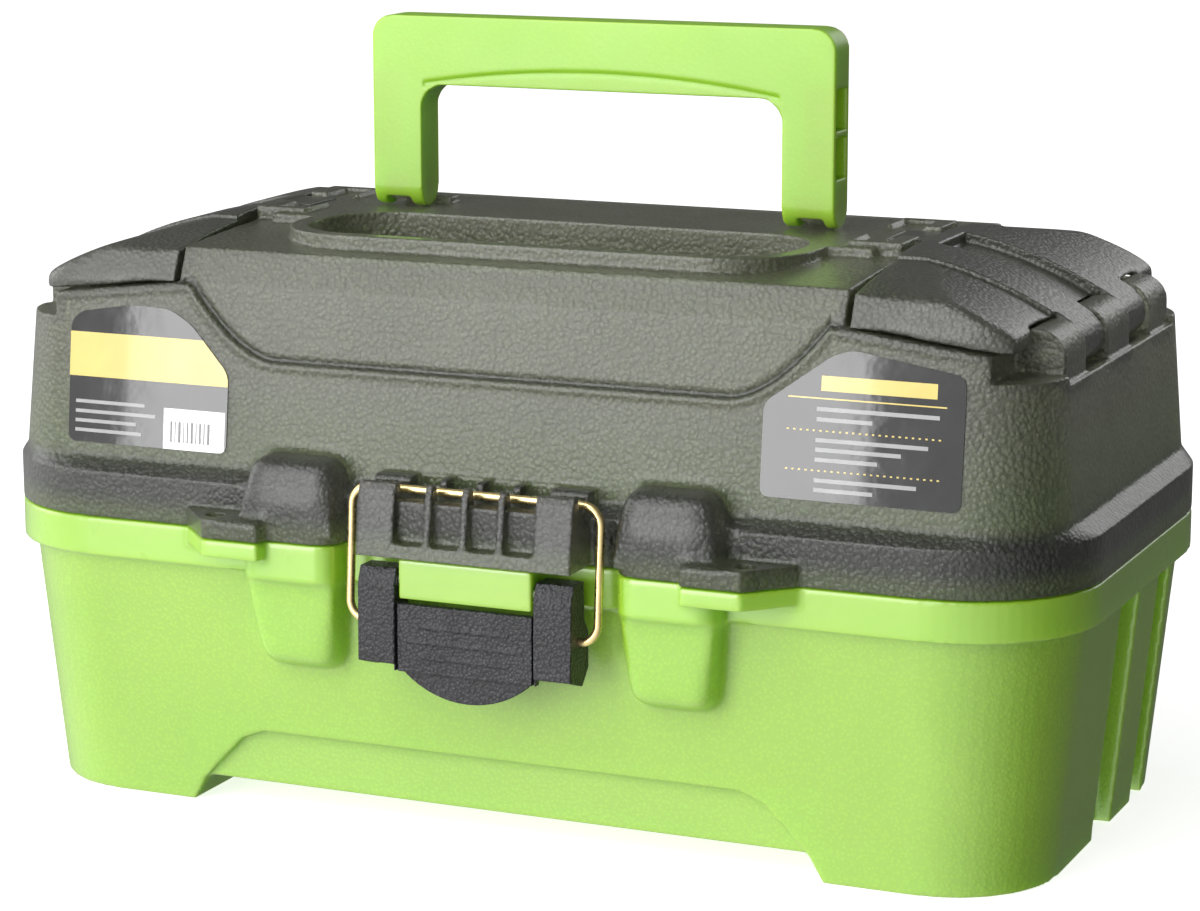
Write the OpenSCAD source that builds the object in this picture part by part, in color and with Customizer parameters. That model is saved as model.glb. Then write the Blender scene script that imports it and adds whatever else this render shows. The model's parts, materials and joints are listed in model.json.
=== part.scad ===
// Fishing tackle box with one lift-out tray, two top-access compartments,
// a folding carry handle and a bail latch.
// X runs along the box, -Y is the front, Z = 0 is the plane of the feet.

/* [Box] */
// Length of the closed box over its rim
box_len = 360; // [356:1:364]
// Width of the closed box over its rim, front to back
box_w = 181; // [180:0.5:182]
// Height of the parting line between tub and lid
part_z = 91.7; // [91.5:0.1:92]
// Thickness of the moulded walls
wall = 2.6; // [2.4:0.1:2.8]
// Plan radius of the rim's corners
corner_r = 42; // [40:1:44]

/* [Lid] */
// Height of the flat plateau that carries the handle
plateau_z = 182.2; // [181.8:0.1:182.4]
// Height of the crest of the compartment doors
door_crest_z = 183.3; // [183:0.1:184]
// Distance of each compartment door's inner edge from the middle of the box
door_x = 110.5; // [110:0.5:112]
// Depth of the top-access compartments below the deck
well_depth = 32; // [26:1:34]

/* [Tray] */
// Length of the tray
tray_len = 306; // [300:1:306]
// Width of the tray, front to back
tray_w = 132; // [126:1:134]
// Height of the tray
tray_h = 44; // [38:1:46]
// Length of the swing arms between their pivots
arm_len = 45.28; // [44.5:0.01:46]

/* [Handle] */
// Width of the handle over its legs
handle_w = 158.6; // [154:0.1:160]
// Height of the handle's grip above the plateau
handle_h = 62.3; // [58:0.1:64]
// Thickness of the handle, front to back
handle_t = 13; // [12.6:0.1:13]

/* [Latch] */
// Width of the latch lever
lever_w = 70.4; // [70:0.1:71]
// Diameter of the bail wire
bail_d = 2.6; // [2.4:0.1:2.8]

/* [Hidden] */

lime = [0.55, 0.80, 0.16];
smoke = [0.30, 0.31, 0.24, 0.85];
dark = [0.12, 0.12, 0.13];
brass = [0.80, 0.66, 0.30];
steel = [0.70, 0.70, 0.72];
label_black = [0.05, 0.05, 0.05];

half_l = box_len / 2;
half_w = box_w / 2;
eps = 0.01;
part_gap = 0.3;
arc_fn = 64;
hull_fn = 60;

// tub
foot_l = half_l - 12;
foot_w = half_w - 9;
foot_r = corner_r - 8;
side_l = half_l - 4;
side_w = half_w - 3;
side_r = corner_r - 3;
band_h = 12.7;
band_z = part_z - band_h;
tub_top_z = part_z - part_gap / 2;
floor_z = 8;
arch_x = 103.8;
arch_top_z = 25.5;
lip_h = 5.3;
lip_t = 1.8;
groove_d = 6;
// each end groove: centre and half width along Y
end_grooves = [[0, 10], [40, 6]];

// lid
lid_z = part_z + part_gap / 2;
flange_z = part_z + 14.5;
dome_z = part_z + 18.3;
dome_l = half_l - 6;
dome_w = half_w - 5.7;
dome_r = 26;
shoulder_z = 166;
shoulder_l = half_l - 10;
shoulder_w = half_w - 11.7;
shoulder_r = 22;
top_l = half_l - 12;
top_w = half_w - 20.4;
top_r = 20;
top_z = 186;
base_crest_z = plateau_z - 2.4;
arch_r = 900;
door_arch_r = 437;
saddle_x = 105.4;
saddle_low_x = 74.6;
saddle_low_z = 143.5;
saddle_d = 0.9;
deck_slope = 0.12;
seam = 0.8;
plateau_x = 102;
plateau_y = 31;
ring_x = 87;
ring_y = 66;
ring_r = 26;
pocket_x = 81;
pocket_y0 = -61;
pocket_y1 = -12;
pocket_r = 21;
pocket_z = plateau_z - 10;

// compartment doors: hinge axis, barrels and posts at each outer end
end_arc_r = 125;
end_arc_x = 98;
end_arc_z = door_crest_z - 124.5;
door_axis_x = 161;
door_axis_z = 157.6;
barrel_r = 7.5;
post_r = 8.3;
pin_r = 1.8;
run_gap = 0.06;
mid_post_y = 12.4;
barrel_y0 = 13;
barrel_y1 = 34.4;
out_post_y0 = 35;
out_post_y1 = 57;
trough_gap = 0.6;
trough_floor_z = 150.5;
door_t = 2.4;
lobe_y = 36.5;
lobe_step = 1.3;
door_in = 0.5;
channel_y = 12.5;
channel_d = 3.2;
tab_y = 9;
tab_in = 11;
tab_t = 3;
well_x0 = door_x + 5.5;
well_x1 = 146;
well_y = 56;
well_wall = 2.2;

// rear hinge
hinge_y = half_w + 4.6;
hinge_z = part_z;
knuckle_r = 4.2;
hinge_pin_r = 1.6;
hinge_x = 100;
knuckle_len = 13.6;
knuckle_pitch = 14;

// latch zone: guards, padlock tabs, catch
guard_x0 = 46;
guard_x1 = 79;
guard_y = half_w + 9.3;
guard_low_z = 51;
guard_r = 6;
guard_top_z = 117;
tab_front_y = half_w + 14.1;
tab_low_z = part_z - 5.7;
tab_high_z = part_z + 6.3;
padlock_x = 87.4;
padlock_y = half_w + 6.8;
padlock_r = 3;
catch_x = 35.4;
catch_front_y = half_w + 14.8;
catch_top_z = 114;
ridge_back_y = half_w + 7.6;
groove_back_y = half_w + 1.1;
rib_w = 2.4;
rib_pitch = 12;
pillar_in_x = 23;

// lever and bail
lever_axis_y = -(half_w + 9);
lever_axis_z = part_z - 7.7;
lever_x = lever_w / 2;
lever_front_y = -(half_w + 13.9);
lever_in_x = 22.5;
lever_top_z = part_z - 3.7;
lever_low_z = 56;
lever_t = 3.4;
panel_in = 0.8;
flap_low_z = 48;
flap_r = 31;
flap_back = 2.6;
flap_t = 2.6;
latch_pin_r = 2;
bail_r = bail_d / 2;
bail_axis_y = -(half_w + 7.3);
bail_axis_z = 70;
bail_top_y = -(half_w + 4.3);
bail_top_z = 111;
bail_x = 42.3 - bail_r;
bail_bend_r = 6;

// tray parallelogram: crank vector, lid pivot Q, tub pivot P, arm end R
crank_z = -5;
crank_y = -sqrt(arm_len * arm_len - crank_z * crank_z);
q_y = hinge_y + crank_y;
q_z = hinge_z + crank_z;
p_y = 20;
p_z = 71.7;
r_y = p_y + crank_y;
r_z = p_z + crank_z;
tray_front_y = -76;
tray_back_y = tray_front_y + tray_w;
tray_z = 62;
tray_wall = 2;
stud_r = 2.5;
arm_t = 2.6;
arm_x = tray_len / 2 + 2.4;
boss_x = arm_x + arm_t + 0.3;
rivet_head_t = 1.6;
bracket_r = 7;
rivet_head_r = 4.6;

// handle
leg_w = 17.3;
handle_y = 3.5;
handle_axis_z = plateau_z + 6.8;
handle_top_z = plateau_z + handle_h;
grip_h = 22;
handle_r = 7;
ear_x0 = 67;
ear_x1 = 75;
ear_gap = 0.4;
handle_pin_r = 2.2;

// ---------------------------------------------------------------- helpers

// Moves a part drawn about the tub's plan centre to the middle of the whole box
module placed() translate([0, (catch_front_y - hinge_y - knuckle_r) / 2, 0]) children();

// Flat rounded rectangle with half sizes hx and hy
module rounded(hx, hy, r) {
    square([2 * hx - 2 * r, 2 * hy], center = true);
    square([2 * hx, 2 * hy - 2 * r], center = true);
    for (sx = [-1, 1], sy = [-1, 1])
        translate([sx * (hx - r), sy * (hy - r)]) circle(r, $fn = arc_fn);
}

// Thin rounded sheet at height z, used between hulls
module sheet(hx, hy, r, z) {
    translate([0, 0, z]) linear_extrude(eps)
        union() {
            square([2 * hx - 2 * r, 2 * hy], center = true);
            square([2 * hx, 2 * hy - 2 * r], center = true);
            for (sx = [-1, 1], sy = [-1, 1])
                translate([sx * (hx - r), sy * (hy - r)]) circle(r, $fn = hull_fn);
        }
}

// Shape given at X > 0, repeated at both ends
module both_ends() {
    children();
    mirror([1, 0, 0]) children();
}

// Solid cylinder along X from x0 to x1
module rod_x(x0, x1, y, z, r) {
    translate([x0, y, z]) rotate([0, 90, 0]) cylinder(r = r, h = x1 - x0, $fn = arc_fn);
}

// Solid cylinder along Y from y0 to y1
module rod_y(x, y0, y1, z, r) {
    translate([x, y0, z]) rotate([-90, 0, 0]) cylinder(r = r, h = y1 - y0, $fn = arc_fn);
}

// Box between two corners
module block(a, b) {
    translate(a) cube([b[0] - a[0], b[1] - a[1], b[2] - a[2]]);
}

// XZ outline drawn with +Y extrusion between y0 and y1
module along_y(y0, y1) {
    translate([0, y1, 0]) rotate([90, 0, 0]) linear_extrude(y1 - y0) children();
}

// Rim outline grown by g, with the two swellings beside the latch
module rim_outline(g) {
    rounded(half_l + g, half_w + g, corner_r + g);
    for (s = [-1, 1]) {
        translate([s * (guard_x0 + guard_x1) / 2, -(guard_y + g) + 12])
            rounded((guard_x1 - guard_x0) / 2 + g, 12, 7);
    }
}

// Plan of one padlock tab at X > 0
module tab_plan() {
    polygon([[66, -half_w + 3], [69.4, -tab_front_y], [88.4, -tab_front_y],
             [101.8, -half_w], [101.8, -half_w + 3]]);
}

// YZ outline extruded along X between x0 and x1
module along_x(x0, x1) {
    translate([x0, 0, 0]) rotate([90, 0, 90]) linear_extrude(x1 - x0) children();
}

// Height of the deck under a door at distance x from the middle
function deck_z(x) = shoulder_z - deck_slope * (x - door_x);

// ---------------------------------------------------------------- tub

module tub_outside() {
    hull() {
        sheet(foot_l, foot_w, foot_r, 0);
        sheet(side_l, side_w, side_r, band_z + 2);
    }
    translate([0, 0, band_z]) linear_extrude(tub_top_z - band_z) rim_outline(0);
    difference() {
        translate([0, 0, band_z + 3]) linear_extrude(tub_top_z + lip_h - band_z - 3)
            rounded(half_l - wall - 0.5, half_w - wall - 0.5, corner_r - wall - 0.5);
        translate([0, 0, tub_top_z]) linear_extrude(lip_h + 1)
            rounded(half_l - wall - 0.5 - lip_t, half_w - wall - 0.5 - lip_t,
                    corner_r - wall - 0.5 - lip_t);
    }
}

module tub_cavity() {
    difference() {
        hull() {
            sheet(foot_l - wall, foot_w - wall, foot_r - wall, floor_z + wall);
            sheet(side_l - wall, side_w - wall, side_r - wall, band_z + wall);
        }
        // backing of the recessed front and rear panels
        for (s = [-1, 1])
            translate([0, s * (foot_w - wall), 0])
                block([-arch_x - 2, -2.4, 0], [arch_x + 2, 2.4, arch_top_z + 3]);
        // backing of the end grooves
        both_ends() for (g = end_grooves)
            block([foot_l - groove_d - wall + 1, g[0] - g[1] - wall, 0],
                  [half_l, g[0] + g[1] + wall, band_z + wall + 1]);
    }
    translate([0, 0, band_z + wall - eps]) linear_extrude(30)
        rounded(half_l - wall - 0.5 - lip_t, half_w - wall - 0.5 - lip_t,
                corner_r - wall - 0.5 - lip_t);
    // hollows inside the feet
    both_ends() intersection() {
        translate([0, 0, wall]) linear_extrude(floor_z + 1)
            rounded(foot_l - wall - 1, foot_w - wall - 1, foot_r - wall - 1);
        block([arch_x + 3 + wall, -foot_w, 0], [foot_l - groove_d - wall, foot_w, floor_z + 4]);
    }
}

// Swelling of the front wall under the rim beside the latch, at X > 0
module tub_guard() {
    hull() {
        block([guard_x0 + 1, -guard_y + 2.6, band_z], [guard_x1 - 1, -half_w + 8, band_z + 1]);
        for (x = [guard_x0 + guard_r + 2, guard_x1 - guard_r - 3]) {
            translate([x, -guard_y + guard_r + 4.2, guard_low_z + guard_r])
                sphere(guard_r, $fn = 32);
            translate([x, -half_w + guard_r + 4, guard_low_z + guard_r - 2])
                sphere(guard_r, $fn = 32);
        }
    }
}

// Raised arch outline of the recessed panel, seen from the front
module arch_outline() {
    polygon([[-arch_x - 3, -1], [-arch_x + 2, floor_z], [-88, arch_top_z - 3],
             [-80, arch_top_z], [80, arch_top_z], [88, arch_top_z - 3],
             [arch_x - 2, floor_z], [arch_x + 3, -1]]);
}

module hinge_knuckles(first, r) {
    for (k = [-2 : 2])
        if ((k + 2) % 2 == first)
            rod_x(hinge_x + k * knuckle_pitch - knuckle_len / 2,
                  hinge_x + k * knuckle_pitch + knuckle_len / 2, hinge_y, hinge_z, r);
}

module tub_hinge() {
    hinge_knuckles(0, knuckle_r);
    for (k = [-2, 0, 2])
        block([hinge_x + k * knuckle_pitch - knuckle_len / 2, half_w - 1, hinge_z - 9],
              [hinge_x + k * knuckle_pitch + knuckle_len / 2, hinge_y, hinge_z - 0.5]);
}

module tub_mechanism_posts() {
    both_ends() {
        rod_x(boss_x, side_l - 3, p_y, p_z, 6.5);
        block([boss_x + 3, p_y - 2, p_z - 20], [side_l - 3, p_y + 2, p_z]);
    }
}

module tub() color(lime) placed() {
    difference() {
        union() {
            difference() {
                union() {
                    tub_outside();
                    both_ends() {
                        tub_guard();
                        translate([0, 0, tab_low_z]) linear_extrude(tub_top_z - tab_low_z)
                            tab_plan();
                    }
                }
                tub_cavity();
            }
            // pad that carries the lever's pin
            block([-lever_in_x + 0.5, -half_w - 12.6, band_z], [lever_in_x - 0.5, -side_w, tub_top_z]);
            both_ends() tub_hinge();
            intersection() {
                tub_mechanism_posts();
                block([-side_l + 2, 0, 40], [side_l - 2, 60, tub_top_z]);
            }
        }
        // space between the feet, open under the floor
        along_y(-half_w - 1, half_w + 1)
            polygon([[-arch_x - 3, -1], [-arch_x + 2.6, floor_z], [arch_x - 2.6, floor_z],
                     [arch_x + 3, -1]]);
        // recessed front and rear panels
        for (s = [0, 1])
            mirror([0, s, 0]) along_y(foot_w - 1.5, half_w + 1) arch_outline();
        both_ends() {
            for (g = end_grooves)
                block([foot_l - groove_d + 1, g[0] - g[1], -1], [half_l, g[0] + g[1], band_z]);
            hinge_knuckles(0, hinge_pin_r + run_gap);
            rod_x(boss_x - 1, boss_x + 7, p_y, p_z, stud_r);
        }
        for (s = [-1, 1])
            translate([s * padlock_x, -padlock_y, tab_low_z - 1])
                cylinder(r = padlock_r, h = 20, $fn = arc_fn);
        rod_x(-lever_in_x - 1, lever_in_x + 1, lever_axis_y, lever_axis_z, latch_pin_r);
    }
}

// ---------------------------------------------------------------- lid

// Outside of the dome without its top arch, shrunk by g
module dome_hull(g) {
    hull() {
        sheet(dome_l - g, dome_w - g, dome_r - g, dome_z - 11);
        sheet(dome_l - g, dome_w - g, dome_r - g, dome_z);
        sheet(shoulder_l - g, shoulder_w - g, shoulder_r - g, shoulder_z);
        sheet(top_l - g, top_w - g, top_r - g, top_z);
    }
}

// Everything under the middle panel and the two decks, lowered by g
module lid_top_mask(g) {
    intersection() {
        block([-door_x + seam + g, -half_w, 90], [door_x - seam - g, half_w, 200]);
        translate([-half_l, 0, base_crest_z - arch_r - g]) rotate([0, 90, 0])
            cylinder(r = arch_r, h = box_len, $fn = 720);
    }
    both_ends() along_y(-half_w, half_w)
        polygon([[90, 90], [90, deck_z(90) - g], [half_l, deck_z(half_l) - g], [half_l, 90]]);
}

// XZ outline of the middle panel above its S-shaped shoulders
module saddle_outline() {
    steps = 12;
    curve = [for (k = [0 : steps])
        [saddle_x - (saddle_x - saddle_low_x) * k / steps,
         saddle_low_z + (shoulder_z - saddle_low_z) * pow(1 - k / steps, 1.8)]];
    polygon(concat([[door_x + 1, 200], [door_x + 1, shoulder_z]], curve,
                   [for (k = [steps : -1 : 0]) [-curve[k][0], curve[k][1]]],
                   [[-door_x - 1, shoulder_z], [-door_x - 1, 200]]));
}

// Sliver outside the middle panel, which lies a little deeper than the wall below it
module saddle_cut() {
    difference() {
        along_y(-half_w - 5, half_w + 5) saddle_outline();
        dome_hull(saddle_d);
        block([-half_l, -plateau_y - 40, 100], [half_l, plateau_y + 40, 220]);
    }
}

// Swelling of the lid's flange beside the latch, at X > 0
module lid_guard() {
    hull() {
        for (x = [guard_x0 + guard_r + 0.8, guard_x1 - guard_r - 1.6])
            for (y = [-guard_y + guard_r + 1.8, -dome_w + 1])
                translate([x, y, guard_top_z - guard_r]) sphere(guard_r, $fn = 32);
        block([guard_x0 + 0.4, -guard_y + 0.5, lid_z + 2],
              [guard_x1 - 0.4, -dome_w + 4, flange_z - 6]);
    }
}

// Catch that the bail hooks over: ribs, recessed panels and the groove behind them
module catch() {
    difference() {
        along_x(-catch_x, catch_x)
            polygon([[-catch_front_y, lid_z], [-catch_front_y + 3, catch_top_z - 2.5],
                     [-catch_front_y + 4.4, catch_top_z], [-catch_front_y + 6, catch_top_z],
                     [-ridge_back_y, catch_top_z - 1.4], [-ridge_back_y, catch_top_z - 5.2],
                     [-groove_back_y, catch_top_z - 5.2], [-groove_back_y, catch_top_z - 1],
                     [-groove_back_y + 1, catch_top_z], [-dome_w + 4, catch_top_z],
                     [-dome_w + 4, lid_z]]);
        for (k = [-2 : 1]) {
            x0 = k == -2 ? -pillar_in_x : k * rib_pitch + rib_w / 2;
            x1 = k == 1 ? pillar_in_x : (k + 1) * rib_pitch - rib_w / 2;
            block([x0, -catch_front_y - 1, lid_z + 4.2], [x1, -catch_front_y + 4.8, 120]);
            block([x0, -catch_front_y - 1, catch_top_z - 5.6], [x1, -ridge_back_y + 1, 120]);
            block([x0, -groove_back_y - 1, catch_top_z - 5.2], [x1, -dome_w - 0.4, 120]);
        }
    }
}

module lid_hinge() {
    hinge_knuckles(1, knuckle_r);
    for (k = [-1, 1])
        block([hinge_x + k * knuckle_pitch - knuckle_len / 2, half_w - 1.5, hinge_z + 0.5],
              [hinge_x + k * knuckle_pitch + knuckle_len / 2, hinge_y, hinge_z + knuckle_r]);
}

// Raised plateau, the ring round the finger pocket, and the parts that stand on them
module plateau() {
    block([-plateau_x, -plateau_y, 168], [plateau_x, plateau_y, plateau_z]);
    translate([0, -ring_y / 2, 168]) linear_extrude(plateau_z - 168)
        rounded(ring_x, ring_y / 2, ring_r);
    both_ends() {
        // ear that holds the handle's pin, behind the leg
        block([ear_x0, handle_y + handle_t / 2 + 0.6, plateau_z - 4],
              [ear_x1, handle_y + handle_t / 2 + 7, handle_axis_z + 4.8]);
        block([ear_x0, handle_y, handle_axis_z - 4.8],
              [ear_x1, handle_y + handle_t / 2 + 2, handle_axis_z + 4.8]);
        rod_x(ear_x0, ear_x1, handle_y, handle_axis_z, 4.8);
        // stop behind the leg
        block([58, handle_y + handle_t / 2 + 0.6, plateau_z - 4],
              [ear_x0, handle_y + handle_t / 2 + 7, plateau_z + 2.5]);
        // finger scoops beside the door's tab
        for (s = [0, 1]) mirror([0, s, 0]) difference() {
            block([92, 10.4, 168], [door_x - seam, 27, plateau_z + 1.6]);
            rod_y(98.5, 9, 24, plateau_z + 5, 6.5);
        }
    }
}

module door_posts() {
    for (p = [[-mid_post_y, mid_post_y], [out_post_y0, out_post_y1], [-out_post_y1, -out_post_y0]]) {
        rod_y(door_axis_x, p[0], p[1], door_axis_z, post_r);
        block([door_axis_x - post_r, p[0], trough_floor_z - 4],
              [door_axis_x + post_r, p[1], door_axis_z]);
    }
}

// Room for the door's barrels, open to the outside, and for its corners
module door_troughs() {
    y1 = out_post_y1 + 0.4;
    rod_y(door_axis_x, -y1, y1, door_axis_z, barrel_r + trough_gap);
    block([door_axis_x - barrel_r - trough_gap, -y1, door_axis_z], [half_l, y1, 200]);
    block([door_axis_x, -y1, trough_floor_z], [half_l, y1, 200]);
    for (s = [0, 1]) mirror([0, s, 0])
        block([154, y1 - eps, 153], [half_l, half_w, 200]);
}

// Pieces inside the dome: well walls, trough skins, tray brackets and the pocket's walls
module lid_inside() {
    translate([0, (pocket_y0 + pocket_y1) / 2, pocket_z - 2.4])
        linear_extrude(plateau_z - 3 - pocket_z)
            rounded(pocket_x + 2.4, (pocket_y1 - pocket_y0) / 2 + 2.4, pocket_r);
    both_ends() {
        block([well_x0 - well_wall, -well_y - well_wall, shoulder_z - well_depth - well_wall],
              [well_x1 + well_wall, well_y + well_wall, 160]);
        rod_y(door_axis_x, -out_post_y1 - 2.4, out_post_y1 + 2.4, door_axis_z,
              barrel_r + trough_gap + 2.4);
        block([door_axis_x - barrel_r - trough_gap - 2.4, -out_post_y1 - 2.4, door_axis_z - 2],
              [door_axis_x - barrel_r, out_post_y1 + 2.4, 160]);
        for (s = [0, 1]) mirror([0, s, 0])
            block([151.4, out_post_y1 - 2, 150.4], [half_l, half_w, 159]);
        tray_bracket();
    }
}

// Plate hanging from the trough that carries the tray's rear pivot
module tray_bracket() {
    rod_x(arm_x, arm_x + arm_t, q_y, q_z, bracket_r);
    along_x(arm_x, arm_x + arm_t)
        polygon([[q_y - bracket_r, q_z], [q_y + bracket_r, q_z], [q_y + 8, 150], [q_y - 16, 150]]);
}

module lid_shell() {
    difference() {
        union() {
            translate([0, 0, lid_z]) linear_extrude(flange_z - lid_z) rim_outline(0);
            hull() {
                sheet(half_l, half_w, corner_r, flange_z - eps);
                sheet(dome_l, dome_w, dome_r, dome_z);
            }
            intersection() {
                dome_hull(0);
                lid_top_mask(0);
            }
            plateau();
            catch();
            both_ends() {
                lid_guard();
                translate([0, 0, lid_z]) linear_extrude(tab_high_z - lid_z) tab_plan();
                lid_hinge();
            }
        }
        translate([0, 0, part_z - 1]) linear_extrude(flange_z - part_z - 1)
            rounded(half_l - wall, half_w - wall, corner_r - wall);
        intersection() {
            dome_hull(wall);
            lid_top_mask(wall);
        }
        saddle_cut();
    }
    intersection() {
        dome_hull(saddle_d + 0.2);
        lid_inside();
    }
}

module lid() color(smoke) placed() {
    difference() {
        union() {
            difference() {
                lid_shell();
                translate([0, (pocket_y0 + pocket_y1) / 2, pocket_z]) linear_extrude(30)
                    rounded(pocket_x, (pocket_y1 - pocket_y0) / 2, pocket_r);
                both_ends() {
                    block([well_x0, -well_y, shoulder_z - well_depth], [well_x1, well_y, 200]);
                    door_troughs();
                    block([door_x - tab_in - 1, -tab_y - 0.6, plateau_z - tab_t - 0.3],
                          [door_x + 1, tab_y + 0.6, 200]);
                }
            }
            both_ends() door_posts();
        }
        both_ends() {
            rod_y(door_axis_x, -out_post_y1 + 2.5, out_post_y1 - 2.5, door_axis_z, pin_r + run_gap);
            rod_x(arm_x - 1, arm_x + arm_t + 1, q_y, q_z, stud_r + run_gap);
            rod_x(ear_x0 - 1, ear_x1 + 1, handle_y, handle_axis_z, handle_pin_r);
            hinge_knuckles(1, hinge_pin_r + run_gap);
        }
        for (s = [-1, 1])
            translate([s * padlock_x, -padlock_y, lid_z - 1])
                cylinder(r = padlock_r, h = 20, $fn = arc_fn);
    }
}

// ---------------------------------------------------------------- pins and rivets

module lid_hinge_pin() {
    x_half = 2 * knuckle_pitch + knuckle_len / 2 + 0.8;
    rod_x(hinge_x - x_half, hinge_x + x_half, hinge_y, hinge_z, hinge_pin_r);
}

module door_hinge_pin() {
    rod_y(door_axis_x, -out_post_y1 + 3, out_post_y1 - 3, door_axis_z, pin_r);
}

module handle_pin() {
    rod_x(leg_in_x + 1, handle_w / 2 - 1, handle_y, handle_axis_z, handle_pin_r);
}

module arm_rivet() {
    rod_x(arm_x - 0.2, boss_x + 6, p_y, p_z, stud_r);
    rod_x(arm_x - 0.2 - rivet_head_t, arm_x - 0.2, p_y, p_z, rivet_head_r);
}

module tray_rivet(y, z) {
    rod_x(tray_len / 2 - tray_wall - 1.5, arm_x + arm_t + 0.1, y, z, stud_r);
    rod_x(arm_x + arm_t + 0.1, arm_x + arm_t + rivet_head_t, y, z, rivet_head_r);
}

module tray_rivets() color(steel) placed() both_ends() {
    tray_rivet(q_y, q_z);
    tray_rivet(r_y, r_z);
}

module lid_hinge_pin_left() color(steel) placed() mirror([1, 0, 0]) lid_hinge_pin();
module lid_hinge_pin_right() color(steel) placed() lid_hinge_pin();
module door_hinge_pin_left() color(steel) placed() mirror([1, 0, 0]) door_hinge_pin();
module door_hinge_pin_right() color(steel) placed() door_hinge_pin();
module handle_pin_left() color(steel) placed() mirror([1, 0, 0]) handle_pin();
module handle_pin_right() color(steel) placed() handle_pin();
module arm_rivet_left() color(steel) placed() mirror([1, 0, 0]) arm_rivet();
module arm_rivet_right() color(steel) placed() arm_rivet();

// ---------------------------------------------------------------- tray and arms

divider_t = 1.6;
tray_rib_y = -12;
divider_places = [[-52, 0], [52, 0], [-78, 1], [78, 1]];
slot_gap = 0.15;

// Bounds along Y of the front (0) or rear (1) row of compartments
function row_y0(row) = row == 0 ? tray_front_y + tray_wall : tray_rib_y + 0.9;
function row_y1(row) = row == 0 ? tray_rib_y - 0.9 : tray_back_y - tray_wall;

module tray() color(lime) placed() {
    difference() {
        translate([0, (tray_front_y + tray_back_y) / 2, tray_z]) linear_extrude(tray_h)
            rounded(tray_len / 2, tray_w / 2, 8);
        translate([0, (tray_front_y + tray_back_y) / 2, tray_z + tray_wall]) linear_extrude(tray_h)
            rounded(tray_len / 2 - tray_wall, tray_w / 2 - tray_wall, 6);
        both_ends() {
            rod_x(tray_len / 2 - 5, tray_len / 2 + 1, q_y, q_z, stud_r);
            rod_x(tray_len / 2 - 5, tray_len / 2 + 1, r_y, r_z, stud_r);
        }
    }
    block([-tray_len / 2 + 1, tray_rib_y - 0.9, tray_z + 1],
          [tray_len / 2 - 1, tray_rib_y + 0.9, tray_z + tray_h - 4]);
    // pairs of guides that hold each divider
    for (d = divider_places, s = [-1, 1], end = [0, 1]) {
        x0 = d[0] + s * (divider_t / 2 + slot_gap + 0.6) - 0.6;
        y0 = end == 0 ? row_y0(d[1]) - 0.5 : row_y1(d[1]) - 2;
        block([x0, y0, tray_z + 1], [x0 + 1.2, y0 + 2.5, tray_z + tray_h - 8]);
    }
}

module tray_divider(k) color(lime) placed() {
    d = divider_places[k];
    block([d[0] - divider_t / 2, row_y0(d[1]) + slot_gap, tray_z + tray_wall],
          [d[0] + divider_t / 2, row_y1(d[1]) - slot_gap, tray_z + tray_h - 6]);
}

module tray_divider_1() tray_divider(0);
module tray_divider_2() tray_divider(1);
module tray_divider_3() tray_divider(2);
module tray_divider_4() tray_divider(3);

module tray_arm() {
    difference() {
        union() {
            rod_x(arm_x, arm_x + arm_t, p_y, p_z, 6);
            rod_x(arm_x, arm_x + arm_t, r_y, r_z, 6);
            translate([0, p_y, p_z]) rotate([atan2(crank_z, crank_y), 0, 0])
                block([arm_x, 0, -4.5], [arm_x + arm_t, arm_len, 4.5]);
        }
        rod_x(arm_x - 1, arm_x + arm_t + 1, p_y, p_z, stud_r + run_gap);
        rod_x(arm_x - 1, arm_x + arm_t + 1, r_y, r_z, stud_r + run_gap);
    }
}

module tray_arm_left() color(steel) placed() mirror([1, 0, 0]) tray_arm();
module tray_arm_right() color(steel) placed() tray_arm();

// ---------------------------------------------------------------- compartment doors

// Top of a door, arched both ways, lowered by g
module door_crown(g) {
    intersection() {
        rod_y(end_arc_x, -half_w, half_w, end_arc_z, end_arc_r - g);
        translate([0, 0, door_crest_z - door_arch_r - g]) rotate([0, 90, 0])
            cylinder(r = door_arch_r, h = half_l, $fn = 720);
    }
}

// The same within the dome's walls
module door_arch(g) {
    intersection() {
        door_crown(g);
        dome_hull(g + door_in);
    }
}

module door_right_shape() {
    difference() {
        union() {
            intersection() {
                difference() {
                    door_arch(0);
                    block([door_x + 6, -channel_y, 0], [half_l, channel_y, 400]);
                    // the parts outside the two lobes lie a step lower
                    for (s = [0, 1]) mirror([0, s, 0]) difference() {
                        block([door_x - 1, lobe_y, 140], [half_l - 2, half_w - 2, 200]);
                        door_crown(lobe_step);
                    }
                }
                door_space();
            }
            // floor of the middle channel
            intersection() {
                door_arch(channel_d);
                door_space();
                block([door_x, -channel_y - 1, 0], [half_l, channel_y + 1, 400]);
            }
        }
        difference() {
            door_arch(door_t + lobe_step);
            block([0, -channel_y - door_t, 0], [half_l, channel_y + door_t, 400]);
            block([0, -half_w, 0], [door_x + seam + door_t, half_w, 400]);
            block([160 - door_t, out_post_y1 - 2, 0], [half_l, half_w, 400]);
            block([160 - door_t, -half_w, 0], [half_l, -out_post_y1 + 2, 400]);
        }
        intersection() {
            door_arch(channel_d + door_t);
            block([door_x + seam + door_t, -channel_y - door_t - 1, 0],
                  [half_l, channel_y + door_t + 1, 400]);
        }
    }
}

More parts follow.
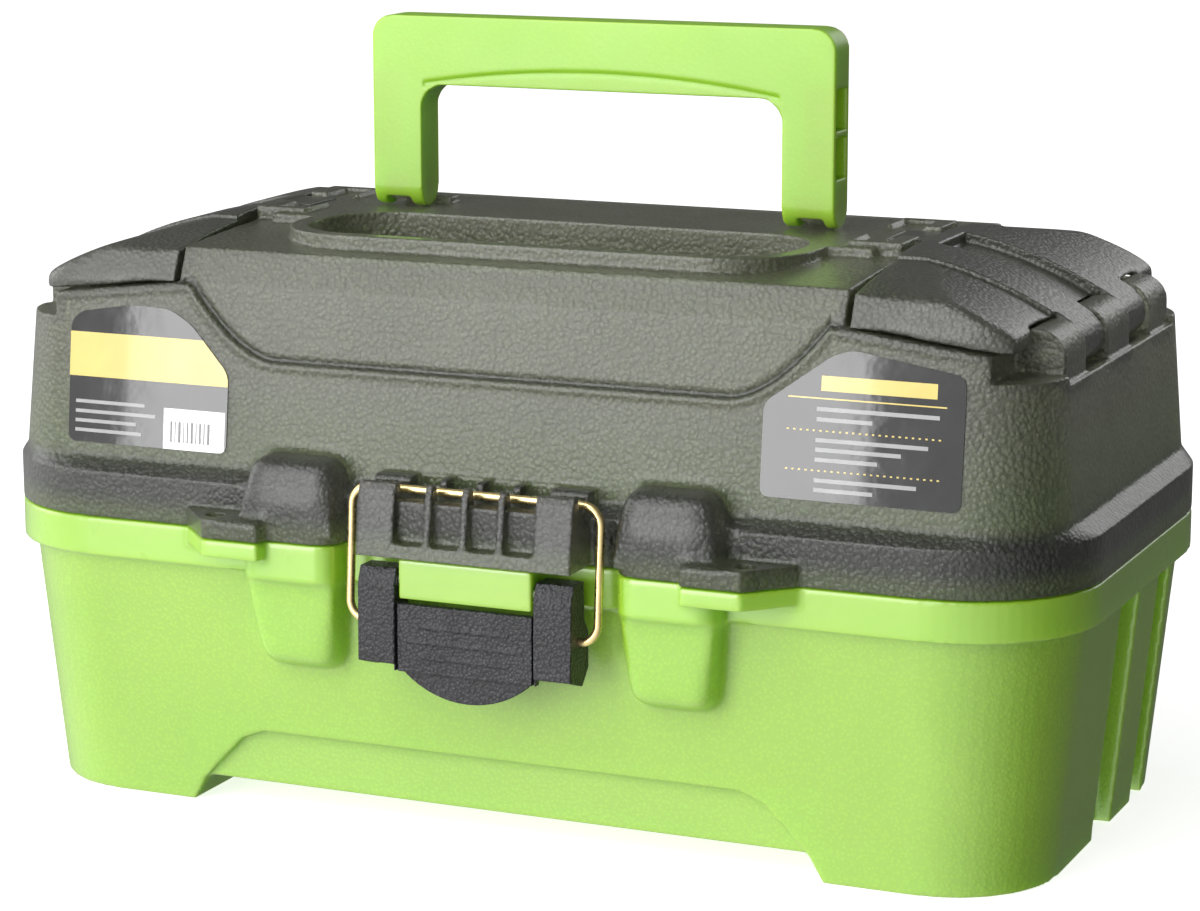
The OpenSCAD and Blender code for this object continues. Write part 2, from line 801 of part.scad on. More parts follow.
// Space a door may fill: above the deck, inside its hinge end
module door_space() {
    difference() {
        along_y(-half_w, half_w)
            polygon([[door_x + seam, deck_z(door_x) + part_gap],
                     [half_l, deck_z(half_l) + part_gap],
                     [half_l, 200], [door_x + seam, 200]]);
        block([160, out_post_y1 + part_gap, 0], [half_l + 1, half_w, 400]);
        block([160, -half_w, 0], [half_l + 1, -out_post_y1 - part_gap, 400]);
    }
}

module door() {
    difference() {
        union() {
            difference() {
                door_right_shape();
                // room for the posts
                for (p = [[-barrel_y0, barrel_y0], [barrel_y1, out_post_y1 + 0.3],
                          [-out_post_y1 - 0.3, -barrel_y1]]) {
                    rod_y(door_axis_x, p[0], p[1], door_axis_z, post_r + 0.5);
                    block([door_axis_x - 1.8, p[0], 0], [half_l + 1, p[1], 400]);
                }
                for (s = [0, 1]) mirror([0, s, 0])
                    block([door_axis_x + 4, barrel_y0, 0], [half_l + 1, barrel_y1, 400]);
            }
            for (s = [0, 1]) mirror([0, s, 0])
                rod_y(door_axis_x, barrel_y0, barrel_y1, door_axis_z, barrel_r);
            block([door_x - tab_in, -tab_y, plateau_z - tab_t + 0.3],
                  [door_x + seam + 4, tab_y, plateau_z + 0.3]);
        }
        rod_y(door_axis_x, -out_post_y1, out_post_y1, door_axis_z, pin_r + run_gap);
    }
}

module door_right() color(smoke) placed() door();
module door_left() color(smoke) placed() mirror([1, 0, 0]) door();

// ---------------------------------------------------------------- handle

leg_in_x = handle_w / 2 - leg_w;
grip_low_z = handle_top_z - grip_h;
arch_h = 5.6;
arch_sweep_r = 360;
leg_hollow_d = 10;
leg_hollow_h = 13;
leg_skin = 1.9;

module handle() color(lime) placed() {
    y0 = handle_y - handle_t / 2;
    y1 = handle_y + handle_t / 2;
    difference() {
        along_y(y0, y1) difference() {
            translate([0, handle_top_z - 50]) rounded(handle_w / 2, 50, handle_r);
            translate([0, grip_low_z - 60]) rounded(leg_in_x, 60, 8);
        }
        // feet rounded about the pins
        difference() {
            block([-handle_w, y0 - 1, 0], [handle_w, y1 + 1, handle_axis_z]);
            rod_x(-handle_w, handle_w, handle_y, handle_axis_z, handle_t / 2);
        }
        // shallow arched insets over the opening, front and rear
        for (y = [y0 - 1, y1 - 0.5])
            intersection() {
                rod_y(0, y, y + 1.5, grip_low_z + arch_h - arch_sweep_r, arch_sweep_r);
                block([-leg_in_x + 1, y - 1, grip_low_z - 1], [leg_in_x - 1, y + 3, handle_top_z]);
            }
        both_ends() {
            // hollows on the outside of the legs, with ribs between
            for (z = [handle_axis_z + 9 : leg_hollow_h + 2 : handle_top_z - 18])
                block([handle_w / 2 - leg_hollow_d, y0 + leg_skin, z],
                      [handle_w / 2 + 1, y1 - leg_skin, z + leg_hollow_h]);
            // slot for the ear, open to the rear and below
            rod_x(ear_x0 - ear_gap, ear_x1 + ear_gap, handle_y, handle_axis_z, 5.2);
            block([ear_x0 - ear_gap, handle_y - 5.2, plateau_z - 5],
                  [ear_x1 + ear_gap, y1 + 1, handle_axis_z]);
            block([ear_x0 - ear_gap, handle_y, plateau_z - 5],
                  [ear_x1 + ear_gap, y1 + 1, handle_axis_z + 5.2]);
            rod_x(leg_in_x + 0.8, handle_w / 2 - 0.8, handle_y, handle_axis_z,
                  handle_pin_r + run_gap);
        }
    }
}

// ---------------------------------------------------------------- latch

module latch_lever() color(dark) placed() {
    difference() {
        union() {
            // solid arms beside the pad
            both_ends() {
                along_x(lever_in_x + 0.4, lever_x)
                    polygon([[lever_front_y, lever_low_z + 3], [lever_front_y + 0.4, lever_top_z - 5],
                             [lever_front_y + 2.4, lever_top_z], [-half_w - 4, lever_top_z],
                             [-half_w - 3.4, band_z - 3], [-half_w - 0.5, lever_low_z + 16],
                             [-half_w - 0.5, lever_low_z + 5], [-half_w - 5, lever_low_z]]);
            }
            block([-lever_in_x - 1, lever_front_y + panel_in, lever_low_z + 0.6],
                  [lever_in_x + 1, lever_front_y + lever_t, band_z - 1.4]);
            // raised grip lines
            for (k = [-1, 0, 1])
                rod_x(k == 0 ? -18.8 : -14.2, k == 0 ? 18.8 : 14.2, lever_front_y + panel_in + 0.2,
                      66.3 + k * 4.7, 0.65);
            // finger flap
            intersection() {
                along_y(lever_front_y + flap_back, lever_front_y + flap_back + flap_t)
                    translate([0, flap_low_z + flap_r]) circle(flap_r, $fn = 128);
                block([-lever_in_x, lever_front_y, flap_low_z - 1],
                      [lever_in_x, lever_front_y + 6, lever_low_z + 6]);
            }
        }
        // hollow behind each arm, under the pin
        both_ends()
            block([lever_in_x - 3, lever_front_y + lever_t, lever_low_z - 1],
                  [lever_x - 2.8, 0, band_z - 3.5]);
        rod_x(-lever_x + 1.2, lever_x - 1.2, lever_axis_y, lever_axis_z, latch_pin_r + run_gap);
        both_ends() rod_x(lever_x - 5, lever_x + 1, bail_axis_y, bail_axis_z, bail_r + run_gap);
        // seams between the arms and the middle panel
        both_ends() block([lever_in_x - 0.3, lever_front_y - 1, lever_low_z - 1],
                          [lever_in_x + 0.4, lever_front_y + 2.2, band_z]);
    }
}

module latch_pin() color(steel) placed()
    rod_x(-lever_x + 1.7, lever_x - 1.7, lever_axis_y, lever_axis_z, latch_pin_r);

module bail_bend(x, z, turn) {
    translate([x, 0, z]) rotate([90, turn, 0])
        rotate_extrude(angle = 90, $fn = 96) translate([bail_bend_r, 0]) circle(bail_r, $fn = 48);
}

module latch_bail() color(brass) placed() {
    lean = atan2(bail_top_y - bail_axis_y, bail_top_z - bail_axis_z);
    height = norm([bail_top_y - bail_axis_y, bail_top_z - bail_axis_z]);
    bend_x = bail_x - bail_bend_r;
    translate([0, bail_axis_y, bail_axis_z]) rotate([-lean, 0, 0]) {
        rod_x(-bend_x, bend_x, 0, height, bail_r);
        both_ends() {
            rod_x(bend_x - 4.4, bend_x, 0, 0, bail_r);
            translate([bail_x, 0, bail_bend_r])
                cylinder(r = bail_r, h = height - 2 * bail_bend_r, $fn = arc_fn);
            bail_bend(bend_x, height - bail_bend_r, 0);
            bail_bend(bend_x, bail_bend_r, 90);
        }
    }
}

// ---------------------------------------------------------------- stickers

label_t = 0.3;
label_lean = atan2(dome_w - shoulder_w, shoulder_z - dome_z);

// Drawn flat on the leaning front wall of the dome
module on_front_wall() {
    translate([0, -dome_w - 0.02, dome_z]) rotate([90 - label_lean, 0, 0])
        linear_extrude(label_t) children();
}

module label_left() color(label_black) placed() on_front_wall()
    polygon([[-147.5, 4.2], [-90.5, 4.2], [-90.5, 29], [-104, 43.5], [-112, 48],
             [-125, 48.5], [-144, 45.5], [-147.5, 42]]);

module label_right() color(label_black) placed() on_front_wall()
    polygon([[86.5, 6.2], [147.5, 6.2], [147.5, 43.5], [145.5, 45.5], [113, 50.5],
             [107, 48.5], [86.5, 33.5]]);

tub();
lid();
lid_hinge_pin_left();
lid_hinge_pin_right();
tray();
tray_divider_1();
tray_divider_2();
tray_divider_3();
tray_divider_4();
tray_arm_left();
tray_arm_right();
arm_rivet_left();
arm_rivet_right();
tray_rivets();
door_left();
door_right();
door_hinge_pin_left();
door_hinge_pin_right();
handle();
handle_pin_left();
handle_pin_right();
latch_lever();
latch_pin();
latch_bail();
label_left();
label_right();
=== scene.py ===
"""Looks for the fishing tackle box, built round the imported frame."""
import json
import math

import bmesh
import bpy
import numpy as np
from mathutils import Matrix, Vector


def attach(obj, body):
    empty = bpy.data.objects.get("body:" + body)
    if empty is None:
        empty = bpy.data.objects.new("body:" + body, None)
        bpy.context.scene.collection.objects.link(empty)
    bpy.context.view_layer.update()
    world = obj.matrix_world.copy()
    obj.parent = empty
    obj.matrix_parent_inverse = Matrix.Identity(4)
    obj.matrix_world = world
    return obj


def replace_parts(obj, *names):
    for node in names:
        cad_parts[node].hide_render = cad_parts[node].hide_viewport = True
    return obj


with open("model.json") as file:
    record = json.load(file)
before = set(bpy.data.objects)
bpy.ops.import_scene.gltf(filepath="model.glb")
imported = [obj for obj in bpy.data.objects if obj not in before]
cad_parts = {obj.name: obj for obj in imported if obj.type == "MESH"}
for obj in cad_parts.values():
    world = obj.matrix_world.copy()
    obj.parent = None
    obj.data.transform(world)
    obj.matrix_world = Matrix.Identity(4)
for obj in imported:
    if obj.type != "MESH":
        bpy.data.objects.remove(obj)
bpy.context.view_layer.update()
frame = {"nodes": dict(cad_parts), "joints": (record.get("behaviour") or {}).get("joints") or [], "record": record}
NODES = frame["nodes"]
MM = 0.001
# Y0 is the tub's plan centre, which the lid hinge stands this far behind
HINGE_BEHIND = 95.1 * MM
HINGE_Y = next(j for j in frame["joints"] if j["name"] == "lid_hinge")["pos_m"][1]
Y0 = HINGE_Y - HINGE_BEHIND
BODY_OF = {n: b for b, ns in frame["record"]["behaviour"]["bodies"].items() for n in ns}


# ------------------------------------------------------------------ materials

# a pebble grain's height in its valleys and on its crowns
VALLEY, CROWN = 0.65, 1.1
# the box's lime band starts here; the wall under it carries the grain
BAND_Z = 79.0 * MM
# the flange's foot, where a lime glow is painted, the flange's top edge and the painted lime glow of the tray,
# from height to height
FOOT_Z = (93.0 * MM, 101.0 * MM)
EDGE_Z = (107.0 * MM, 113.0 * MM)
PAINTED_GLOW_Z = (112.0 * MM, 142.0 * MM)


class Nodes:
    """Small helper that adds and links shader nodes."""

    def __init__(self, name):
        self.mat = bpy.data.materials.new(name)
        self.mat.use_nodes = True
        self.tree = self.mat.node_tree
        self.bsdf = self.tree.nodes["Principled BSDF"]
        self.coords = self.tree.nodes.new("ShaderNodeTexCoord")

    def add(self, kind, **values):
        node = self.tree.nodes.new(kind)
        for key, value in values.items():
            if key[0] == "_":
                node.inputs[key[1:].replace("_", " ")].default_value = value
            else:
                setattr(node, key, value)
        return node

    def link(self, a, b):
        self.tree.links.new(a, b)

    def set(self, **values):
        for key, value in values.items():
            self.bsdf.inputs[key.replace("_", " ")].default_value = value

    def noise(self, scale, detail=2.0, rough=0.5):
        n = self.add("ShaderNodeTexNoise", _Scale=scale, _Detail=detail, _Roughness=rough)
        self.link(self.coords.outputs["Object"], n.inputs["Vector"])
        return n.outputs["Fac"]

    def pebbles(self, scale, rough):
        """Height of a pebble grain: rounded cells with narrow valleys, roughened by noise."""
        n = self.add("ShaderNodeTexVoronoi", feature="F1", _Scale=scale)
        self.link(self.coords.outputs["Object"], n.inputs["Vector"])
        cells = self.math("SUBTRACT", 1.0, n.outputs["Distance"])
        return self.math("ADD", cells, self.math("MULTIPLY", self.noise(scale * 1.8, 2.0), rough))

    def mark(self, name):
        """Weight that moulded() stored on the mesh, 0 where the mesh has none."""
        return self.add("ShaderNodeAttribute", attribute_name=name).outputs["Fac"]

    def axis(self, which):
        n = self.add("ShaderNodeSeparateXYZ")
        self.link(self.coords.outputs["Object"], n.inputs[0])
        return n.outputs[which]

    def ramp(self, value, lo, hi, to_lo=0.0, to_hi=1.0):
        n = self.add("ShaderNodeMapRange", interpolation_type="SMOOTHSTEP")
        self.link(value, n.inputs["Value"])
        for key, v in (("From Min", lo), ("From Max", hi), ("To Min", to_lo), ("To Max", to_hi)):
            n.inputs[key].default_value = v
        return n.outputs["Result"]

    def math(self, op, a, b):
        n = self.add("ShaderNodeMath", operation=op)
        for i, v in enumerate((a, b)):
            if isinstance(v, (int, float)):
                n.inputs[i].default_value = v
            else:
                self.link(v, n.inputs[i])
        return n.outputs[0]

    def mix(self, fac, a, b):
        n = self.add("ShaderNodeMix", data_type="RGBA")
        self.link(fac, n.inputs["Factor"])
        for key, v in ((6, a), (7, b)):
            if isinstance(v, tuple):
                n.inputs[key].default_value = (*v, 1.0)
            else:
                self.link(v, n.inputs[key])
        return n.outputs[2]

    def shaded_by(self, colour, grain, depth, zone=None):
        """Painted shade: colour a little darker in the valleys of the grain."""
        fac = self.ramp(grain, VALLEY, CROWN, depth, 0.0)
        if zone is not None:
            fac = self.math("MULTIPLY", fac, zone)
        return self.mix(fac, colour, (0.0, 0.0, 0.0))

    def bump(self, height, strength, distance):
        n = self.add("ShaderNodeBump", _Strength=1.0, _Distance=distance)
        if isinstance(strength, (int, float)):
            n.inputs["Strength"].default_value = strength
        else:
            self.link(strength, n.inputs["Strength"])
        self.link(height, n.inputs["Height"])
        self.link(n.outputs["Normal"], self.bsdf.inputs["Normal"])


def green_plastic(name, grain_below=None, depth=1.0, gloss=1.0):
    """Lime moulded plastic; pebble grain of the given depth, with painted shade in its valleys, only below the
    given height.
    """
    m = Nodes(name)
    tone = m.noise(14.0, 3.0)
    colour = m.mix(m.ramp(tone, 0.35, 0.65), (0.290, 0.575, 0.022), (0.320, 0.610, 0.030))
    grain = m.pebbles(800.0, 0.5)
    zone = m.ramp(m.axis(2), -1.0, -0.9)
    if grain_below is not None:
        zone = m.ramp(m.axis(2), grain_below, grain_below + 1.5 * MM, 1.0, 0.0)
    m.link(m.shaded_by(colour, grain, 0.09 * depth, zone), m.bsdf.inputs["Base Color"])
    m.bump(grain, m.math("MULTIPLY", zone, 0.45 * depth), 0.00026)
    m.link(m.math("ADD", m.ramp(m.noise(60.0), 0.3, 0.7, 0.27, 0.33),
                  m.math("MULTIPLY", zone, 0.17)), m.bsdf.inputs["Roughness"])
    m.set(Coat_Weight=gloss, Coat_Roughness=0.33, Coat_IOR=1.7, Specular_IOR_Level=0.6,
          Subsurface_Weight=0.30, Subsurface_Scale=0.02, Subsurface_Radius=(0.6, 1.0, 0.08))
    return m.mat


def smoke_plastic(name, light, dark, through, grain=1.0, rim=None):
    """Smoky olive plastic that lets light through, with painted shade in the grain's valleys; rim gives the
    flange's foot and edge colours, the foot's colour being a painted lime glow.
    """
    m = Nodes(name)
    tone = m.noise(22.0, 3.0)
    colour = m.mix(m.ramp(tone, 0.3, 0.7), dark, light)
    if rim is not None:
        # the flange and what stands out from the dome are thicker, so they are darker,
        # with a painted lime glow at the flange's foot where the lime lip shows through
        edge = m.math("MULTIPLY", m.ramp(m.axis(2), *EDGE_Z),
                      m.math("SUBTRACT", 1.0, m.mark("proud")))
        foot = m.ramp(m.axis(2), *FOOT_Z)
        # painted glow: the lime tray's light through the dome is painted into the colour of its lower part
        painted_glow = m.ramp(m.axis(2), *PAINTED_GLOW_Z, 0.55, 0.0)
        colour = m.mix(painted_glow, colour, (0.38, 0.50, 0.20))
        colour = m.mix(edge, m.mix(foot, rim[0], rim[1]), colour)
        # painted shade: the dome's colour darkened along the crease of the long walls
        colour = m.mix(m.mark("crease"), colour, tuple(0.22 * c for c in dark))
    pebble = m.pebbles(640.0, 0.5)
    m.link(m.shaded_by(colour, pebble, 0.30 * grain), m.bsdf.inputs["Base Color"])
    m.bump(pebble, grain, 0.00055)
    m.link(m.ramp(m.noise(80.0), 0.3, 0.7, 0.30, 0.38), m.bsdf.inputs["Roughness"])
    m.set(Transmission_Weight=through, IOR=1.46, Specular_IOR_Level=0.5,
          Coat_Weight=0.6, Coat_Roughness=0.28)
    return m.mat


def black_plastic(name):
    """Charcoal plastic with a coarse pebble grain and painted shade in its valleys."""
    m = Nodes(name)
    colour = m.mix(m.ramp(m.noise(90.0), 0.3, 0.7), (0.022, 0.022, 0.026), (0.034, 0.034, 0.040))
    grain = m.pebbles(900.0, 0.6)
    m.link(m.shaded_by(colour, grain, 0.6), m.bsdf.inputs["Base Color"])
    m.bump(grain, 1.0, 0.00040)
    m.link(m.ramp(m.noise(200.0), 0.3, 0.7, 0.34, 0.44), m.bsdf.inputs["Roughness"])
    return m.mat


def metal(name, colour, rough, scale=300.0):
    """Drawn or plated metal, faintly mottled."""
    m = Nodes(name)
    c = tuple(x * 0.88 for x in colour)
    m.link(m.mix(m.ramp(m.noise(scale, 3.0), 0.3, 0.7), c, colour), m.bsdf.inputs["Base Color"])
    m.link(m.ramp(m.noise(scale * 2, 3.0), 0.3, 0.7, rough * 0.8, rough * 1.25),
           m.bsdf.inputs["Roughness"])
    m.bump(m.noise(scale * 6, 2.0), 0.08, 0.0001)
    m.set(Metallic=1.0)
    return m.mat


def film(name, colour, rough=0.05):
    """Printed glossy sticker film with a faint orange-peel waviness."""
    m = Nodes(name)
    c = tuple(min(1.0, x * 1.1 + 0.002) for x in colour)
    m.link(m.mix(m.ramp(m.noise(70.0), 0.3, 0.7), colour, c), m.bsdf.inputs["Base Color"])
    m.bump(m.noise(160.0, 2.0), 0.06, 0.0004)
    m.link(m.ramp(m.noise(120.0), 0.3, 0.7, rough, rough * 1.6), m.bsdf.inputs["Roughness"])
    m.set(Coat_Weight=0.5, Coat_Roughness=0.03)
    return m.mat


MAT = {
    "tub": green_plastic("lime_shell", grain_below=BAND_Z - 1.5 * MM),
    "green": green_plastic("lime_handle", depth=0.3, gloss=0.45),
    "tray": green_plastic("lime_tray", grain_below=-0.5),
    # the rim's first colour is a painted lime glow for the flange's foot, the second the thick flange's darker
    # colour
    "lid": smoke_plastic("smoke_dome", (0.46, 0.48, 0.345), (0.37, 0.39, 0.265), 0.82,
                         rim=((0.27, 0.33, 0.14), (0.125, 0.125, 0.108))),
    "door": smoke_plastic("smoke_door", (0.15, 0.15, 0.122), (0.11, 0.112, 0.088), 0.45, 0.8),
    "black": black_plastic("charcoal"),
    "brass": metal("brass_wire", (0.90, 0.71, 0.34), 0.30),
    "steel": metal("zinc_steel", (0.62, 0.62, 0.63), 0.30),
    "film_black": film("film_black", (0.012, 0.012, 0.012)),
    "film_yellow": film("film_yellow", (0.64, 0.50, 0.13), 0.12),
    "film_white": film("film_white", (0.78, 0.78, 0.78), 0.25),
    "film_grey": film("film_grey", (0.30, 0.30, 0.30), 0.25),
}


# ------------------------------------------------------------------ geometry helpers

def evaluated_mesh(ob):
    bpy.context.view_layer.update()
    dg = bpy.context.evaluated_depsgraph_get()
    return bpy.data.meshes.new_from_object(ob.evaluated_get(dg), depsgraph=dg)


def link(ob):
    bpy.context.scene.collection.objects.link(ob)
    return ob


def dress(ob, material, body):
    ob.data.materials.clear()
    ob.data.materials.append(material)
    ob.data.polygons.foreach_set("use_smooth", np.ones(len(ob.data.polygons), bool))
    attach(ob, body)
    return ob


def points_of(mesh):
    co = np.empty(len(mesh.vertices) * 3, np.float32)
    mesh.vertices.foreach_get("co", co)
    return co.reshape(-1, 3)


def normals_of(mesh):
    no = np.empty(len(mesh.vertices) * 3, np.float32)
    mesh.vertex_normals.foreach_get("vector", no)
    return no.reshape(-1, 3)


# smoothing passes are stated for this voxel; finer meshes need more for the same fillet
REFERENCE_VOXEL = 0.8 * MM
SOFT_PASSES = 60
SOFT_STEPS = (0.34, 0.67, 1.0)


def passes(stated, voxel):
    return max(1, round(stated * (REFERENCE_VOXEL / voxel) ** 1.6))


def soften(ob, weights, voxel):
    """Smooth the object's mesh further where the weights, 0 to 1, say so."""
    group = ob.vertex_groups.new(name="soft")
    for level in SOFT_STEPS:
        chosen = np.nonzero((weights > level - SOFT_STEPS[0]) & (weights <= level))[0]
        if len(chosen):
            group.add(chosen.tolist(), level, "REPLACE")
    more = ob.modifiers.new("soft", "SMOOTH")
    more.vertex_group = group.name
    more.factor = 0.6
    more.iterations = passes(SOFT_PASSES, voxel)
    mesh = evaluated_mesh(ob)
    ob.modifiers.clear()
    ob.data = mesh


def moulded(node, voxel, rounds, material, shape=None, soft=None, marks=None):
    """Rounded copy of a CAD node: every edge gets the fillet of a moulding.

    shape(points, normals) moves the points; soft(points) gives extra smoothing, 0 to 1;
    marks(points, normals) gives named weights that the material reads.
    """
    work = link(bpy.data.objects.new("work", NODES[node].data.copy()))
    remesh = work.modifiers.new("remesh", "REMESH")
    remesh.mode = "VOXEL"
    remesh.voxel_size = voxel
    smooth = work.modifiers.new("smooth", "SMOOTH")
    smooth.factor = 0.5
    smooth.iterations = passes(rounds, voxel)
    ob = link(bpy.data.objects.new("moulded_" + node, evaluated_mesh(work)))
    bpy.data.objects.remove(work)
    if soft is not None:
        soften(ob, soft(points_of(ob.data)), voxel)
    mesh = ob.data
    points, normals = points_of(mesh), normals_of(mesh)
    if marks is not None:
        for name, weights in marks(points, normals).items():
            layer = mesh.attributes.new(name, "FLOAT", "POINT")
            layer.data.foreach_set("value", weights.astype(np.float32))
    if shape is not None:
        moved = shape(points, normals).astype(np.float32)
        mesh.vertices.foreach_set("co", moved.ravel())
        mesh.update()
    dress(ob, material, BODY_OF[node])
    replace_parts(ob, node)
    return ob


def step(x, lo, hi):
    """0 below lo, 1 above hi, and a smooth rise between."""
    t = np.clip((x - lo) / (hi - lo), 0, 1)
    return t * t * (3 - 2 * t)


# ------------------------------------------------------------------ shells

def plan(p):
    """Points in mm about the plan centre, mirrored to X > 0."""
    q = p / MM
    return np.stack([np.abs(q[:, 0]), q[:, 1] - Y0 / MM, q[:, 2]], 1)


def box_weight(p, lo, hi, fade):
    """1 inside a box given in mm about the plan centre, fading out over fade mm; mirrored in X."""
    q = plan(p)
    w = np.ones(len(q))
    for k in range(3):
        w *= step(q[:, k], lo[k] - fade, lo[k]) * (1 - step(q[:, k], hi[k], hi[k] + fade))
    return w


def lid_soft(p):
    """The lid's two latch guards."""
    return box_weight(p, (48, -110, 100), (80, -84, 120), 3)


def bell(x, middle, width):
    """1 at the middle, falling off over the width."""
    return np.exp(-((x - middle) / width) ** 2)


SADDLE_LOW_X, SADDLE_X = 74.6, 105.4
SADDLE_LOW_Z, SHOULDER_Z = 143.5, 166.0
DECK_SLOPE = 0.12


def above_crease(q):
    """Distance in mm above the S-shaped crease of the long walls, which ends as the deck's edge."""
    rise, run = SHOULDER_Z - SADDLE_LOW_Z, SADDLE_X - SADDLE_LOW_X
    t = np.clip((q[:, 0] - SADDLE_LOW_X) / run, 0, 1)
    curve = SADDLE_LOW_Z + rise * t ** 1.8 - DECK_SLOPE * np.clip(q[:, 0] - SADDLE_X, 0, None)
    slope = 1.8 * rise / run * t ** 0.8 * (q[:, 0] < SADDLE_X)
    return (q[:, 2] - curve) / np.sqrt(1 + slope ** 2)


def long_wall(q, normals):
    """1 on the outside of the dome's front and rear walls."""
    outward = normals[:, 1] * np.sign(q[:, 1])
    return step(np.abs(q[:, 1]), 64, 68) * step(outward, 0.45, 0.75) * step(q[:, 2], 125, 130)


def lid_shape(p, normals):
    """The crease over the lower wall and the rounded bead under it."""
    q = plan(p)
    gap = above_crease(q)
    lift = 0.45 * bell(gap, -1.3, 1.1) - 0.75 * bell(gap, 0.9, 0.9) * (q[:, 0] < 108)
    return p + normals * (lift * long_wall(q, normals) * MM)[:, None]


def lid_marks(p, normals):
    """Where the crease lies in shade, and what stands out from the dome in front."""
    q = plan(p)
    crease = bell(above_crease(q), 0.8, 0.9) * long_wall(q, normals)
    proud = step(-q[:, 1], 86.2, 87.4) * (q[:, 0] < 82)
    return {"crease": crease, "proud": proud}


GRIP_LOW_Z, GRIP_ARCH_H, GRIP_SWEEP_R, GRIP_IN_X = 222.5, 5.6, 360.0, 61.0


def handle_shape(p, normals):
    """Fine line along the arched inset over the opening."""
    q = plan(p)
    arch = GRIP_LOW_Z + GRIP_ARCH_H - GRIP_SWEEP_R + np.sqrt(GRIP_SWEEP_R ** 2 - q[:, 0] ** 2)
    depth = 0.55 * bell(q[:, 2], arch, 0.8) * step(np.abs(normals[:, 1]), 0.6, 0.9)
    return p - normals * (depth * (q[:, 0] < GRIP_IN_X) * MM)[:, None]


def door_soft(p):
    """The rolled outer corners of the doors, front and rear."""
    q = plan(p)
    return step(np.abs(q[:, 1]), 40, 48) * step(q[:, 0], 114, 124) * step(q[:, 2], 146, 150)


def tub_soft(p):
    """The tub's two latch guards."""
    return box_weight(p, (44, -110, 40), (84, -84, 77), 3)


moulded("tub", 0.7 * MM, 6, MAT["tub"], soft=tub_soft)
moulded("lid", 0.55 * MM, 1.7, MAT["lid"], shape=lid_shape, soft=lid_soft, marks=lid_marks)
for side in ("left", "right"):
    moulded("door_" + side, 0.5 * MM, 2, MAT["door"], soft=door_soft)
moulded("handle", 0.5 * MM, 3, MAT["green"], shape=handle_shape)
moulded("latch_lever", 0.3 * MM, 0.7, MAT["black"])
moulded("tray", 0.8 * MM, 4, MAT["tray"])


# ------------------------------------------------------------------ stickers

def clip(poly, a, b, c):
    """Part of a polygon where a*x + b*z <= c."""
    out = []
    for i, p in enumerate(poly):
        q = poly[(i + 1) % len(poly)]
        dp, dq = a * p[0] + b * p[1] - c, a * q[0] + b * q[1] - c
        if dp <= 0:
            out.append(p)
        if (dp < 0 < dq) or (dq < 0 < dp):
            t = dp / (dp - dq)
            out.append((p[0] + t * (q[0] - p[0]), p[1] + t * (q[1] - p[1])))
    return out


def eased(poly, reach):
    """Polygon with each corner rounded over the given reach along its edges."""
    out = []
    for i, p in enumerate(poly):
        ends = []
        for q in (poly[i - 1], poly[(i + 1) % len(poly)]):
            size = math.hypot(q[0] - p[0], q[1] - p[1])
            t = min(reach, 0.45 * size) / size
            ends.append((p[0] + t * (q[0] - p[0]), p[1] + t * (q[1] - p[1])))
        for k in range(6):
            t = k / 5
            a, b, c = (1 - t) ** 2, 2 * t * (1 - t), t * t
            out.append(tuple(a * ends[0][j] + b * p[j] + c * ends[1][j] for j in (0, 1)))
    return out


# the dome's front wall leans back this much, in mm, over its height
WALL_LEAN = math.atan2(6.0, 56.0 - 0.3)
WALL_UP = Vector((0, math.sin(WALL_LEAN), math.cos(WALL_LEAN)))
WALL_OUT = Vector((0, -math.cos(WALL_LEAN), math.sin(WALL_LEAN)))
WALL_FOOT = Vector((0, Y0 - 84.82 * MM, 110 * MM))
# how far each layer's face stands off the wall, and how thick the layer is
FILM_LIFT, FILM_T = 0.0003, 0.00028
PRINT_LIFT, PRINT_T = 0.00036, 0.00004
OVERPRINT_LIFT = PRINT_LIFT + 0.00006
CORNER_REACH = 3.0


def plate(name, poly, colour, lift=PRINT_LIFT, thick=PRINT_T):
    """Thin printed patch; poly in mm in the sticker's own plane, x and height up the wall."""
    bm = bmesh.new()
    front = [bm.verts.new(WALL_FOOT + Vector((x * MM, 0, 0)) + WALL_UP * (h * MM)
                          + WALL_OUT * lift) for x, h in poly]
    face = bm.faces.new(front)
    back = bmesh.ops.extrude_face_region(bm, geom=[face])
    bmesh.ops.translate(bm, vec=-WALL_OUT * thick,
                        verts=[v for v in back["geom"] if isinstance(v, bmesh.types.BMVert)])
    bmesh.ops.recalc_face_normals(bm, faces=bm.faces)
    mesh = bpy.data.meshes.new(name)
    bm.to_mesh(mesh)
    bm.free()
    ob = link(bpy.data.objects.new(name, mesh))
    mesh.materials.append(MAT["film_" + colour])
    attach(ob, "lid")
    return ob


def bar(x0, h0, x1, h1):
    return [(x0, h0), (x1, h0), (x1, h1), (x0, h1)]


def sticker_film(node, outline):
    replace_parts(plate(node + "_film", outline, "black", FILM_LIFT, FILM_T), node)


def left_sticker():
    """Yellow band, white block with plain stripes, and grey rules; no lettering."""
    outline = eased([(-147.5, 4.2), (-90.5, 4.2), (-90.5, 29), (-104, 43.5), (-112, 48),
                     (-125, 48.5), (-144, 45.5), (-147.5, 42)], CORNER_REACH)
    sticker_film("label_left", outline)
    plate("sticker_band", clip(clip(outline, 0, 1, 39.0), 0, -1, -25.0), "yellow")
    block = clip(clip(outline, -1, 0, 113.0), 0, 1, 17.0)
    plate("sticker_block", clip(block, 1, 0, -91.2), "white")
    x = -110.5
    for k, w in enumerate([1.0, 0.5, 1.4, 0.5, 0.8, 1.2, 0.5, 1.0, 0.6, 1.3]):
        stripe = w * 0.62
        plate(f"sticker_code_{k}", bar(x, 6.5, x + stripe, 13.0), "black", OVERPRINT_LIFT)
        x += stripe + 0.95
    for k, (x1, h) in enumerate([(-120, 16.5), (-116, 13.4), (-123, 10.4), (-121, 7.4)]):
        plate(f"sticker_note_{k}", bar(-145, h, x1, h + 1.1), "grey")


